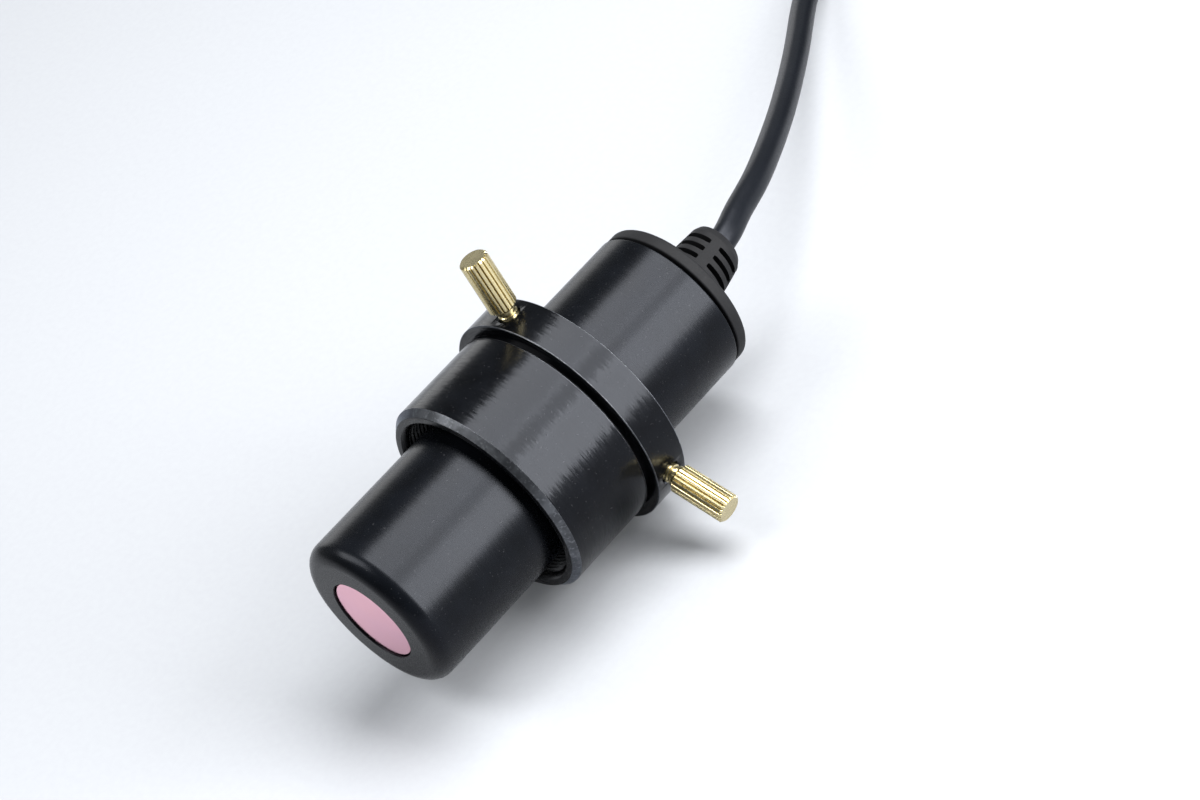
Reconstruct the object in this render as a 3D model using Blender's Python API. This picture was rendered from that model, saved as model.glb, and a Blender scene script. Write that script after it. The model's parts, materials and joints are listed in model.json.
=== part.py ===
"""Eyepiece camera for a microscope or telescope, lying on a table with its lead coiled behind it.

A slim black camera barrel slides in an adapter sleeve, which three brass thumbscrews clamp.
The barrel's axis runs along Y, its window faces -Y and its lead leaves towards +Y.
The origin is under the middle of the camera and its adapter, on the table.
"""

import math

import bmesh
import bpy
from mathutils import Matrix, Vector

MM = 0.001
GAP = 0.3 * MM  # between pieces that rest on each other
SLIDE_GAP = 0.15 * MM  # between the barrel and the adapter that slides on it
SEGMENTS = 48
SMALL_SEGMENTS = 24

# Heights along the barrel are measured from the face of its nose.
TUBE_R = 11.6 * MM
TUBE_BORE_R = 10.6 * MM
TUBE_LENGTH = 59.25 * MM
NOSE_ROUNDING = 2.3 * MM
APERTURE_R = 6.05 * MM
LIP_THICKNESS = 1.0 * MM
WINDOW_SEAT_R = 7.5 * MM
WINDOW_SEAT_END = 5.3 * MM
WINDOW_THICKNESS = 1.5 * MM
WINDOW_FRONT = 0.25 * MM  # the glass's raised middle fills the aperture up to here
WINDOW_CLEARANCE = 0.1 * MM

CAP_R = 11.45 * MM
CAP_RIM = 2.0 * MM
CAP_PLUG = 6.0 * MM
CAP_EDGE = 0.45 * MM
RELIEF_BASE_R = 4.75 * MM
RELIEF_END_R = 3.9 * MM
RELIEF_END = 71.4 * MM

ADAPTER_FRONT = 21.6 * MM
SLEEVE_R = 15.43 * MM
SLEEVE_BORE_R = 13.25 * MM
SLEEVE_BORE_END = 34.6 * MM
SLEEVE_CHAMFER = (0.95 * MM, 0.8 * MM)  # along the axis, across it
BORE_CHAMFER = 0.45 * MM
GROOVE_R = 14.75 * MM
GROOVE_START = 35.65 * MM
SHOULDER_R = 15.5 * MM  # from here outwards the flange meets the rim of an eyepiece tube
FLANGE_R = 16.7 * MM
FLANGE_START = 36.55 * MM
FLANGE_END = 41.9 * MM
FLANGE_EDGE = 0.2 * MM
SCREW_HEIGHT = 39.2 * MM

# Thumbscrews, measured outwards from the barrel's axis.
THREAD_R = 1.35 * MM
THREAD_HOLE_R = 1.6 * MM
HEAD_START = 17.75 * MM
HEAD_END = 26.1 * MM
HEAD_R = 2.0 * MM
HEAD_VALLEY_R = 1.75 * MM
HEAD_CHAMFER = 0.25 * MM
TEETH = 20

SENSOR_BOARD = 17.0 * MM
MAIN_BOARD = 27.0 * MM
BOARD_R = 10.2 * MM
BOARD_THICKNESS = 1.2 * MM
SPACER_CIRCLE_R = 8.0 * MM

CORD_R = 1.9 * MM
COIL_CENTRE = Vector((-30.5 * MM, 134.5 * MM, 0))
COIL_MEAN_R = 21.0 * MM
COIL_SPREAD = 5.8 * MM  # half of the three turns that lie side by side
COIL_HEIGHT = 15.5 * MM  # four turns on each other
TIE_WIDTH = 6.0 * MM
TIE_THICKNESS = 0.4 * MM
TIE_LIFT = 0.75 * MM
PLUG_START = Vector((-3.5 * MM, 3.0 * MM, COIL_HEIGHT + GAP + 4.05 * MM))  # from the coil's centre

# The lead leaves straight along the axis, sinks to the table and swings round to its coil.
LEAD_ROUTE = (
    (-1.55, 36.3, 17.2),
    (-2.05, 38.2, 17.25),
    (-3.4, 41.5, 17.2),
    (-7.1, 49.6, 16.2),
    (-17.0, 63.5, 12.6),
    (-29.2, 78.3, 8.4),
    (-41.9, 93.2, 4.8),
    (-50.7, 106.2, 2.7),
    (-56.3, 118.5, 2.0),
    (-59.1, 130.0, 2.0),
)
# The tail lies on top of the coil and turns across it into the plug. It is measured from the centre.
TAIL_ROUTE = (
    (-9.44, -18.76, 17.7),
    (-13.69, -15.09, 17.7),
    (-15.73, -9.49, 17.95),
    (-14.69, -3.63, 18.6),
    (-10.87, 0.93, 19.4),
    (-6.9, 2.7, 19.8),
    (-3.85, 3.0, 19.85),
)
LEAD_POINTS = 22
TAIL_POINTS = 10

# A screw head and the flange rim both rest on the table, which sets how the adapter is turned.
TIP_REACH = math.hypot(HEAD_END - HEAD_CHAMFER, HEAD_R)
LEAN = math.atan2(HEAD_R, HEAD_END - HEAD_CHAMFER) + math.acos(FLANGE_R / TIP_REACH)
SCREW_TURNS = [math.pi + LEAN + k * math.tau / 3 for k in (1, 2, 0)]  # from straight up to +X


def head_reach(away):
    """How far a screw head reaches in a direction that is `away` radians from its own axis."""
    corners = ((HEAD_END - HEAD_CHAMFER, HEAD_R), (HEAD_END, HEAD_VALLEY_R))
    return max(out * math.cos(away) + r * math.sin(away) for out, r in corners)


RIGHT_REACH = head_reach(abs(SCREW_TURNS[1] - math.tau - math.pi / 2))
LEFT_REACH = head_reach(abs(SCREW_TURNS[2] - math.pi * 1.5))
AXIS_X = (LEFT_REACH - RIGHT_REACH) / 2
AXIS_Z = FLANGE_R
NOSE_Y = -RELIEF_END / 2


def clear_scene():
    for old in list(bpy.data.objects):
        bpy.data.objects.remove(old, do_unlink=True)


def material(name, colour, roughness, metallic=0.0):
    made = bpy.data.materials.new(name)
    made.use_nodes = True
    shader = made.node_tree.nodes["Principled BSDF"]
    shader.inputs["Base Color"].default_value = (*colour, 1.0)
    shader.inputs["Roughness"].default_value = roughness
    shader.inputs["Metallic"].default_value = metallic
    return made


def empty(name, place, rotation=Matrix(), parent=None):
    """A guide whose own Z runs along the axis of what is hung on it."""
    made = bpy.data.objects.new(name, None)
    made.empty_display_size = 5 * MM
    made.matrix_local = Matrix.Translation(place) @ rotation.to_4x4()
    made.parent = parent
    bpy.context.scene.collection.objects.link(made)
    return made


def finish(name, bm, surface, parent=None, sharp=35):
    """Turns the bmesh into a named object whose round faces are smooth."""
    bmesh.ops.remove_doubles(bm, verts=bm.verts, dist=1e-7)
    bmesh.ops.recalc_face_normals(bm, faces=bm.faces)
    mesh = bpy.data.meshes.new(name)
    bm.to_mesh(mesh)
    bm.free()
    mesh.shade_smooth()
    mesh.set_sharp_from_angle(angle=math.radians(sharp))
    mesh.materials.append(surface)
    made = bpy.data.objects.new(name, mesh)
    made.parent = parent
    bpy.context.scene.collection.objects.link(made)
    return made


def skin(bm, rings, closed):
    """Joins rings of points by faces; a closed skin runs round to its first ring again."""
    made = [[bm.verts.new(point) for point in ring] for ring in rings]
    pairs = list(zip(made, made[1:] + made[:1])) if closed else list(zip(made, made[1:]))
    for low, high in pairs:
        count = len(low)
        for i in range(count):
            j = (i + 1) % count
            bm.faces.new((low[i], low[j], high[j], high[i]))
    if not closed:
        bm.faces.new(list(reversed(made[0])))
        bm.faces.new(made[-1])


def circle(height, radius, count):
    steps = [math.tau * i / count for i in range(count)]
    return [(radius * math.cos(a), radius * math.sin(a), height) for a in steps]


def turned(name, profile, surface, parent, segments=SEGMENTS, closed=True):
    """A lathe shape about Z from (height, radius) pairs; a closed profile leaves a bore."""
    bm = bmesh.new()
    skin(bm, [circle(height, radius, segments) for height, radius in profile], closed)
    return finish(name, bm, surface, parent)


def disc(name, start, end, radius, surface, parent, segments=SEGMENTS):
    return turned(name, [(start, radius), (end, radius)], surface, parent, segments, closed=False)


def washer(name, start, end, bore, radius, surface, parent, segments=SEGMENTS):
    profile = [(start, bore), (start, radius), (end, radius), (end, bore)]
    return turned(name, profile, surface, parent, segments)


def block(name, size, centre, surface, parent=None, bevel=0.15 * MM):
    bm = bmesh.new()
    bmesh.ops.create_cube(bm, size=1.0)
    bmesh.ops.scale(bm, vec=size, verts=bm.verts)
    bmesh.ops.bevel(bm, geom=bm.edges, offset=bevel, segments=1, affect="EDGES")
    bmesh.ops.translate(bm, vec=centre, verts=bm.verts)
    return finish(name, bm, surface, parent)


def cutter(name, made, target):
    """Cuts the made guide out of target."""
    made.name = name
    made.hide_render = True
    made.display_type = "WIRE"
    cut = target.modifiers.new(name, "BOOLEAN")
    cut.operation = "DIFFERENCE"
    cut.solver = "EXACT"
    cut.object = made


def smooth_route(points, count):
    """Evenly spaced points on one smooth curve through a route."""
    route = [Vector(point) * MM for point in points]
    ends = [2 * route[0] - route[1], *route, 2 * route[-1] - route[-2]]
    fine = []
    for p0, p1, p2, p3 in zip(ends, ends[1:], ends[2:], ends[3:]):
        for i in range(40):
            t = i / 40
            fine.append(
                0.5 * (2 * p1 + (p2 - p0) * t + (2 * p0 - 5 * p1 + 4 * p2 - p3) * t**2
                       + (3 * p1 - 3 * p2 + p3 - p0) * t**3)
            )
    fine.append(route[-1])
    run = [0.0]
    for a, b in zip(fine, fine[1:]):
        run.append(run[-1] + (b - a).length)
    spaced, at = [], 0
    for i in range(count):
        want = run[-1] * i / (count - 1)
        while at < len(run) - 2 and run[at + 1] < want:
            at += 1
        share = (want - run[at]) / (run[at + 1] - run[at])
        spaced.append(fine[at].lerp(fine[at + 1], min(share, 1.0)))
    return spaced


def tube_along(name, points, radius, surface):
    """A plain cord: a round section swept along its points."""
    curve = bpy.data.curves.new(name, "CURVE")
    curve.dimensions = "3D"
    curve.bevel_depth = radius
    curve.bevel_resolution = 2
    curve.use_fill_caps = True
    spline = curve.splines.new("POLY")
    spline.points.add(len(points) - 1)
    for slot, point in zip(spline.points, points):
        slot.co = (*point, 1.0)
    curve.materials.append(surface)
    made = bpy.data.objects.new(name, curve)
    bpy.context.scene.collection.objects.link(made)
    return made


def rounded_outline(half_width, half_height, corner, forward, per_corner=4):
    """A rounded rectangle across X, at `forward` along X."""
    outline = []
    for quarter, (sy, sz) in enumerate(((1, 1), (-1, 1), (-1, -1), (1, -1))):
        for i in range(per_corner):
            a = math.pi / 2 * (quarter + i / (per_corner - 1))
            outline.append((forward, sy * (half_width - corner) + corner * math.cos(a),
                            sz * (half_height - corner) + corner * math.sin(a)))
    return outline


def build_barrel(axis, anodised, glass, rubber, steel):
    """The tube with its round nose, and the window that is held behind the lip."""
    nose = []
    for i in range(6):
        a = math.pi / 2 * i / 5
        nose.append((NOSE_ROUNDING * (1 - math.sin(a)), TUBE_R - NOSE_ROUNDING * (1 - math.cos(a))))
    profile = [
        (0, APERTURE_R),
        *reversed(nose),
        (TUBE_LENGTH - 0.2 * MM, TUBE_R),
        (TUBE_LENGTH, TUBE_R - 0.2 * MM),
        (TUBE_LENGTH, TUBE_BORE_R),
        (WINDOW_SEAT_END, TUBE_BORE_R),
        (WINDOW_SEAT_END, WINDOW_SEAT_R),
        (LIP_THICKNESS, WINDOW_SEAT_R),
        (LIP_THICKNESS, APERTURE_R),
    ]
    turned("body_tube", profile, anodised, axis)
    window_start = LIP_THICKNESS + WINDOW_CLEARANCE
    window_end = window_start + WINDOW_THICKNESS
    middle_r, rim_r = APERTURE_R - WINDOW_CLEARANCE, WINDOW_SEAT_R - GAP
    turned("front_window", [
        (WINDOW_FRONT, middle_r),
        (window_start, middle_r),
        (window_start, rim_r),
        (window_end, rim_r),
    ], glass, axis, closed=False)
    gasket_end = window_end + 0.7 * MM
    washer("window_gasket", window_end + 0.15 * MM, gasket_end, APERTURE_R + GAP,
           WINDOW_SEAT_R - GAP, rubber, axis)
    ring_start = gasket_end + 0.15 * MM
    ring = washer("window_retainer", ring_start, WINDOW_SEAT_END - 0.1 * MM, APERTURE_R,
                  WINDOW_SEAT_R - 0.15 * MM, steel, axis)
    slot = block("retainer_slots", (4 * WINDOW_SEAT_R, 1.0 * MM, 1.2 * MM), (0, 0, WINDOW_SEAT_END),
                 steel, axis, bevel=0.1 * MM)
    cutter("retainer_slots", slot, ring)


def build_electronics(axis, board, chip, glass, metal, plastic, black, cord_black):
    """The sensor board at the front, the main board behind it, and the lead's inner end."""
    washer("baffle_tube", WINDOW_SEAT_END + GAP, SENSOR_BOARD - GAP, 9.5 * MM, 10.35 * MM, black, axis)
    disc("sensor_board", SENSOR_BOARD, SENSOR_BOARD + BOARD_THICKNESS, BOARD_R, board, axis)
    block("image_sensor", (8.6 * MM, 8.0 * MM, 1.2 * MM),
          (0, 0, SENSOR_BOARD - 0.15 * MM - 0.6 * MM), chip, axis)
    block("sensor_cover_glass", (7.4 * MM, 6.8 * MM, 0.5 * MM),
          (0, 0, SENSOR_BOARD - 1.75 * MM), glass, axis, bevel=0.05 * MM)
    main = disc("main_board", MAIN_BOARD, MAIN_BOARD + BOARD_THICKNESS, BOARD_R, board, axis)
    board_back = MAIN_BOARD + BOARD_THICKNESS
    for k, letter in enumerate("abc"):
        a = math.pi / 2 + k * math.tau / 3
        post = empty(f"post_{letter}",
                     (SPACER_CIRCLE_R * math.cos(a), SPACER_CIRCLE_R * math.sin(a), 0), parent=axis)
        washer(f"board_spacer_{letter}", SENSOR_BOARD + BOARD_THICKNESS + GAP, MAIN_BOARD - GAP,
               0.95 * MM, 1.7 * MM, metal, post, 16)
        hole = disc(f"board_hole_{letter}", MAIN_BOARD - MM, board_back + MM, 0.95 * MM, board, post, 16)
        cutter(f"board_hole_{letter}", hole, main)
        turned(f"board_screw_{letter}",
               [(MAIN_BOARD - 3 * MM, 0.7 * MM), (board_back + 0.15 * MM, 0.7 * MM),
                (board_back + 0.15 * MM, 1.5 * MM), (board_back + 1.0 * MM, 1.5 * MM),
                (board_back + 1.3 * MM, 1.0 * MM)], metal, post, 16, closed=False)
    block("board_link", (9.0 * MM, 3.0 * MM, MAIN_BOARD - SENSOR_BOARD - BOARD_THICKNESS - 2 * GAP),
          (0, 4.6 * MM, (MAIN_BOARD + SENSOR_BOARD + BOARD_THICKNESS) / 2), plastic, axis)
    block("video_chip", (6.0 * MM, 6.0 * MM, 0.9 * MM),
          (0, -1.6 * MM, MAIN_BOARD - 0.15 * MM - 0.45 * MM), chip, axis)
    block("clock_crystal", (3.2 * MM, 2.4 * MM, 0.9 * MM),
          (-6.6 * MM, 1.8 * MM, board_back + 0.15 * MM + 0.45 * MM), metal, axis)
    socket_end = board_back + 4.6 * MM
    block("lead_socket", (8.0 * MM, 4.4 * MM, 4.45 * MM),
          (0, 0, (board_back + 0.15 * MM + socket_end) / 2), plastic, axis)
    block("lead_connector", (7.2 * MM, 3.8 * MM, 4.0 * MM), (0, 0, socket_end + GAP + 2.0 * MM),
          plastic, axis)
    lead_start = socket_end + 2 * GAP + 4.0 * MM
    disc("inner_lead", lead_start, RELIEF_END - 0.6 * MM, CORD_R, cord_black, axis, SMALL_SEGMENTS)
    washer("lead_clamp", 48.0 * MM, 51.5 * MM, CORD_R + 0.15 * MM, 3.4 * MM, metal, axis, SMALL_SEGMENTS)


def build_rear(axis, rubber):
    """The cap that plugs the tube and the slotted sleeve that protects the lead."""
    start = TUBE_LENGTH + 0.35 * MM
    end = start + CAP_RIM
    bore = CORD_R + 0.2 * MM
    plug_r = TUBE_BORE_R - 0.2 * MM
    profile = [
        (start - CAP_PLUG, bore),
        (start - CAP_PLUG, plug_r - 0.4 * MM),
        (start - CAP_PLUG + 0.4 * MM, plug_r),
        (start, plug_r),
        (start, CAP_R - CAP_EDGE / 2),
        (start + CAP_EDGE / 2, CAP_R),
        (end - CAP_EDGE, CAP_R),
        (end, CAP_R - CAP_EDGE),
        (end, bore),
    ]
    turned("rear_cap", profile, rubber, axis)
    profile = [
        (end + GAP, bore),
        (end + GAP, RELIEF_BASE_R),
        (RELIEF_END - 1.3 * MM, RELIEF_END_R),
        (RELIEF_END - 0.45 * MM, RELIEF_END_R - 0.4 * MM),
        (RELIEF_END, RELIEF_END_R - 1.15 * MM),
        (RELIEF_END, bore),
    ]
    turned("strain_relief", profile, rubber, axis, 32)


def build_adapter(axis, anodised, brass):
    """The sleeve with its clamping flange, and the thumbscrews in their own radial frames."""
    slide = empty("adapter_axis", (0, 0, ADAPTER_FRONT), parent=axis)
    along, across = SLEEVE_CHAMFER
    bore = TUBE_R + SLIDE_GAP
    outline = [
        (ADAPTER_FRONT, SLEEVE_BORE_R + BORE_CHAMFER),
        (ADAPTER_FRONT, SLEEVE_R - across),
        (ADAPTER_FRONT + along, SLEEVE_R),
        (GROOVE_START, SLEEVE_R),
        (GROOVE_START, GROOVE_R),
        (FLANGE_START, GROOVE_R),
        (FLANGE_START, SHOULDER_R),
        (FLANGE_START, FLANGE_R - FLANGE_EDGE),
        (FLANGE_START + FLANGE_EDGE, FLANGE_R),
        (FLANGE_END - FLANGE_EDGE, FLANGE_R),
        (FLANGE_END, FLANGE_R - FLANGE_EDGE),
        (FLANGE_END, bore + FLANGE_EDGE),
        (FLANGE_END - FLANGE_EDGE, bore),
        (SLEEVE_BORE_END, bore),
        (SLEEVE_BORE_END, SLEEVE_BORE_R),
        (ADAPTER_FRONT + BORE_CHAMFER, SLEEVE_BORE_R),
    ]
    local = [(height - ADAPTER_FRONT, radius) for height, radius in outline]
    ring = turned("adapter_ring", local, anodised, slide)
    for letter, turn in zip("abc", SCREW_TURNS):
        outward = Matrix.Rotation(turn - math.pi / 2, 3, "Z") @ Matrix.Rotation(math.pi / 2, 3, "Y")
        frame = empty(f"thumbscrew_axis_{letter}", (0, 0, SCREW_HEIGHT - ADAPTER_FRONT), outward, slide)
        hole = disc(f"screw_hole_{letter}", TUBE_R - MM, FLANGE_R + MM, THREAD_HOLE_R, anodised, frame,
                    SMALL_SEGMENTS)
        cutter(f"screw_hole_{letter}", hole, ring)
        thumbscrew(f"thumbscrew_{letter}", brass, frame)


def knurled(height, tip, valley):
    """One ring round a thumbscrew head, with a tooth tip on the X axis."""
    ring = []
    for i in range(2 * TEETH):
        a = math.pi * i / TEETH
        r = valley if i % 2 else tip
        ring.append((r * math.cos(a), r * math.sin(a), height))
    return ring


def thumbscrew(name, brass, frame):
    plain = 2 * TEETH
    rings = [
        circle(TUBE_R + GAP, THREAD_R - 0.2 * MM, plain),
        circle(TUBE_R + GAP + 0.2 * MM, THREAD_R, plain),
        circle(HEAD_START, THREAD_R, plain),
        circle(HEAD_START, HEAD_VALLEY_R, plain),
        knurled(HEAD_START + HEAD_CHAMFER, HEAD_R, HEAD_VALLEY_R),
        knurled(HEAD_END - HEAD_CHAMFER, HEAD_R, HEAD_VALLEY_R),
        circle(HEAD_END, HEAD_VALLEY_R, plain),
    ]
    bm = bmesh.new()
    skin(bm, rings, closed=False)
    finish(name, bm, brass, frame, sharp=20)


def build_cord(cord_black, tie_black, grip_black, steel, plastic):
    """The lead down to the table, its coil with a tie, and the plug that lies on the coil."""
    tube_along("cable", smooth_route(LEAD_ROUTE, LEAD_POINTS), CORD_R, cord_black)
    offset = COIL_CENTRE / MM
    tail = [Vector(point) + offset for point in TAIL_ROUTE]
    tube_along("cable_tail", smooth_route(tail, TAIL_POINTS), CORD_R, cord_black)

    inner, outer = COIL_MEAN_R - COIL_SPREAD, COIL_MEAN_R + COIL_SPREAD
    middle = empty("coil_centre", COIL_CENTRE)
    edge = 1.2 * MM
    profile = [
        (0, inner + edge), (0, outer - edge), (edge, outer), (COIL_HEIGHT - edge, outer),
        (COIL_HEIGHT, outer - edge), (COIL_HEIGHT, inner + edge), (COIL_HEIGHT - edge, inner), (edge, inner),
    ]
    coil = turned("cable_coil", profile, cord_black, middle)
    notch = block("tie_notch", (TIE_WIDTH + 2 * MM, 2 * outer, 2 * TIE_LIFT), (0, outer, 0),
                  cord_black, middle, bevel=0.05 * MM)
    cutter("tie_notch", notch, coil)

    half = TIE_WIDTH / 2
    low, high = 0.05 * MM, COIL_HEIGHT + TIE_LIFT + TIE_THICKNESS
    near = math.sqrt(inner**2 - half**2) - GAP - TIE_THICKNESS
    far = outer + GAP + TIE_THICKNESS
    loop = [(near, low), (far, low), (far, high), (near, high)]
    t = TIE_THICKNESS
    hole = [(near + t, low + t), (far - t, low + t), (far - t, high - t), (near + t, high - t)]
    bm = bmesh.new()
    rings = [[(x, y, z) for y, z in outline] for x, outline in
             ((-half, loop), (half, loop), (half, hole), (-half, hole))]
    skin(bm, rings, closed=True)
    finish("cable_tie", bm, tie_black, middle)

    plug = empty("plug_axis", COIL_CENTRE + PLUG_START)
    sections = ((0, 2.7, 2.7, 2.6), (7, 3.3, 3.1, 2.9), (8, 7.0, 3.5, 2.4), (9.5, 7.9, 4.0, 2.4),
                (23, 8.0, 4.0, 2.4), (24, 7.6, 3.6, 2.0))
    bm = bmesh.new()
    skin(bm, [rounded_outline(w * MM, h * MM, c * MM, x * MM) for x, w, h, c in sections], closed=False)
    finish("usb_plug_grip", bm, grip_black, plug)
    front = 24 * MM + GAP
    shell_w, shell_h, shell_length, wall = 6.0 * MM, 2.25 * MM, 12.0 * MM, 0.35 * MM
    rings = [
        rounded_outline(shell_w, shell_h, 0.4 * MM, front, 2),
        rounded_outline(shell_w, shell_h, 0.4 * MM, front + shell_length, 2),
        rounded_outline(shell_w - wall, shell_h - wall, 0.2 * MM, front + shell_length, 2),
        rounded_outline(shell_w - wall, shell_h - wall, 0.2 * MM, front + 1 * MM, 2),
    ]
    bm = bmesh.new()
    skin(bm, rings, closed=False)
    finish("usb_plug_shell", bm, steel, plug)
    block("usb_plug_tongue", (10.2 * MM, 10.6 * MM, 1.7 * MM),
          (front + 1 * MM + GAP + 5.1 * MM, 0, 0.8 * MM), plastic, plug)


def main():
    clear_scene()
    anodised = material("black_anodised", (0.028, 0.03, 0.036), 0.38, 0.6)
    adapter_black = material("turned_black", (0.03, 0.031, 0.036), 0.33, 0.6)
    window_glass = material("coated_glass", (0.62, 0.42, 0.48), 0.08)
    cover_glass = material("cover_glass", (0.7, 0.75, 0.78), 0.05)
    rubber = material("dark_rubber", (0.045, 0.045, 0.047), 0.7)
    brass = material("brass", (0.72, 0.55, 0.26), 0.25, 1.0)
    steel = material("steel", (0.6, 0.6, 0.62), 0.25, 1.0)
    board = material("board_green", (0.03, 0.2, 0.09), 0.45)
    chip = material("chip_black", (0.03, 0.03, 0.03), 0.5)
    plastic = material("white_plastic", (0.75, 0.74, 0.7), 0.45)
    baffle = material("baffle_black", (0.015, 0.015, 0.015), 0.85)
    cord_black = material("cord_black", (0.02, 0.022, 0.027), 0.4)
    tie_black = material("tie_black", (0.02, 0.02, 0.02), 0.7)
    grip_black = material("grip_black", (0.02, 0.02, 0.022), 0.55)

    facing_back = Matrix.Rotation(-math.pi / 2, 3, "X")
    axis = empty("barrel_axis", (AXIS_X, NOSE_Y, AXIS_Z), facing_back)
    build_barrel(axis, anodised, window_glass, rubber, steel)
    build_electronics(axis, board, chip, cover_glass, brass, plastic, baffle, cord_black)
    build_rear(axis, rubber)
    build_adapter(axis, adapter_black, brass)
    build_cord(cord_black, tie_black, grip_black, steel, plastic)


main()
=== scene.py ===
"""The looks of the eyepiece camera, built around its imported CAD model.

Turned pieces are made in a frame of their own whose Z runs along the axis they were turned on,
so that their materials can follow the tool marks round it. Lengths are in metres.
"""

import json
import math

import bmesh
import bpy
from mathutils import Matrix, Vector


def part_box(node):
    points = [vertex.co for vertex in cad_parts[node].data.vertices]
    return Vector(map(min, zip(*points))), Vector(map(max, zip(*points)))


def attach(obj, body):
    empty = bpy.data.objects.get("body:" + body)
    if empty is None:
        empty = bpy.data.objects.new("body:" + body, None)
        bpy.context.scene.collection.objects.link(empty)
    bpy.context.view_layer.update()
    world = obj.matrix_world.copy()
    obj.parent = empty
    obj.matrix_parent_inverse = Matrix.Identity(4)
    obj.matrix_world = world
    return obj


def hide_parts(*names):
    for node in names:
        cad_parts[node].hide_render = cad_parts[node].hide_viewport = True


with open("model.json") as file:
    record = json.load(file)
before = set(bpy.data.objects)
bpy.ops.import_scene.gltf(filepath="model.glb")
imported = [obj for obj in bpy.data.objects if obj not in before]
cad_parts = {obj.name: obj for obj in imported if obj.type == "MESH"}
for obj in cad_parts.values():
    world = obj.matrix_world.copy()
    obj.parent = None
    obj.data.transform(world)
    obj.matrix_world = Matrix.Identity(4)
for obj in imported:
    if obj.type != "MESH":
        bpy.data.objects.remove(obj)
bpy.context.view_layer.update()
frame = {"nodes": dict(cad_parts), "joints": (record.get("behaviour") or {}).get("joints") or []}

MM = 0.001

# ---------------------------------------------------------------- measures taken from the frame
tube_low, tube_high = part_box("body_tube")
AXIS_X = (tube_low.x + tube_high.x) / 2
AXIS_Z = (tube_low.z + tube_high.z) / 2
NOSE_Y = tube_low.y
TUBE_R = (tube_high.z - tube_low.z) / 2
TUBE_LENGTH = tube_high.y - NOSE_Y


def span(node):
    """Where a node starts and ends along the barrel, measured from the face of the nose."""
    low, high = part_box(node)
    return low.y - NOSE_Y, high.y - NOSE_Y


def reach(node):
    """The outer radius of a piece turned on the barrel's axis."""
    low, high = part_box(node)
    return (high.z - low.z) / 2


AXIS_FRAME = Matrix.Translation((AXIS_X, NOSE_Y, AXIS_Z)) @ Matrix.Rotation(-math.pi / 2, 4, "X")


# ---------------------------------------------------------------- camera, floor and light
CAMERA_AIM = Vector((-4.458, 9.622, 11.472)) * MM
CAMERA_DISTANCE = 459.8 * MM
CAMERA_AZIMUTH = math.radians(62.054)
CAMERA_ELEVATION = math.radians(35.549)
CAMERA_ROLL = math.radians(-29.833)
CAMERA_LENS = 105.0


LIGHT_DISTANCE = 0.6
SOFT_LIGHTS = (  # name, angle above +X in degrees, place along the barrel, size, radiance
    ("overhead_light", 82.3, 0.36, (0.445, 0.28), 14.0),
    ("middle_light", 51, 0.36, (0.233, 0.28), 10.5),
    ("side_light", 17.3, 0.36, (0.502, 0.28), 18.5),
    ("nose_light", 114, -0.42, (0.46, 0.24), 7.8),
    ("left_light", 172, 0.36, (0.22, 0.45), 1.6),
)
WORLD_COLOUR = (0.90, 0.96, 1.0, 1.0)
WORLD_STRENGTH = 0.25
FLOOR_HALF = 2.0


def direction(azimuth, elevation):
    """The unit vector that points at the camera from what it looks at."""
    level = math.cos(elevation)
    return Vector((math.sin(azimuth) * level, -math.cos(azimuth) * level, math.sin(elevation)))


def build_camera():
    data = bpy.data.cameras.new("camera")
    data.lens = CAMERA_LENS
    data.clip_start = 0.01
    data.clip_end = 20.0
    camera = bpy.data.objects.new("camera", data)
    towards = direction(CAMERA_AZIMUTH, CAMERA_ELEVATION)
    turn = towards.to_track_quat("Z", "Y").to_matrix().to_4x4()
    place = Matrix.Translation(CAMERA_AIM + towards * CAMERA_DISTANCE)
    camera.matrix_world = place @ turn @ Matrix.Rotation(CAMERA_ROLL, 4, "Z")
    bpy.context.scene.collection.objects.link(camera)
    bpy.context.scene.camera = camera


def soft_light(name, angle, along, size, radiance):
    """A soft box that faces the barrel, `angle` degrees above +X.

    `along` is the share of its direction that points along the barrel. Its first size runs round
    the barrel, its second along it.
    """
    around, length = size
    data = bpy.data.lights.new(name, "AREA")
    data.shape = "RECTANGLE"
    data.size = around
    data.size_y = length
    data.energy = radiance * math.pi * around * length
    light = bpy.data.objects.new(name, data)
    angle = math.radians(angle)
    level = math.sqrt(1 - along**2)
    towards = Vector((math.cos(angle) * level, along, math.sin(angle) * level))
    across = Vector((-math.sin(angle), 0, math.cos(angle)))
    turn = Matrix((across, towards.cross(across), towards)).transposed().to_4x4()
    light.matrix_world = Matrix.Translation(Vector((0, 0, AXIS_Z)) + towards * LIGHT_DISTANCE) @ turn
    bpy.context.scene.collection.objects.link(light)


def build_studio():
    scene = bpy.context.scene
    scene.view_settings.view_transform = "Standard"
    world = bpy.data.worlds.new("studio")
    world.use_nodes = True
    backdrop = world.node_tree.nodes["Background"]
    backdrop.inputs["Color"].default_value = WORLD_COLOUR
    backdrop.inputs["Strength"].default_value = WORLD_STRENGTH
    scene.world = world

    for name, angle, along, size, radiance in SOFT_LIGHTS:
        soft_light(name, angle, along, size, radiance)

    bm = bmesh.new()
    bmesh.ops.create_grid(bm, x_segments=8, y_segments=8, size=FLOOR_HALF)
    mesh = bpy.data.meshes.new("floor")
    bm.to_mesh(mesh)
    bm.free()
    floor = bpy.data.objects.new("floor", mesh)
    scene.collection.objects.link(floor)
    paper = Surface("pale_paper", {"Roughness": 0.9, "IOR": 1.2})
    fibres = paper.noise(paper.place(), 900, detail=3)
    paper.set("Base Color", paper.blend(fibres, (0.335, 0.345, 0.365), (0.36, 0.37, 0.39)))
    paper.bump(fibres, 0.05, 0.02 * MM)
    mesh.materials.append(paper.made)


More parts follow.
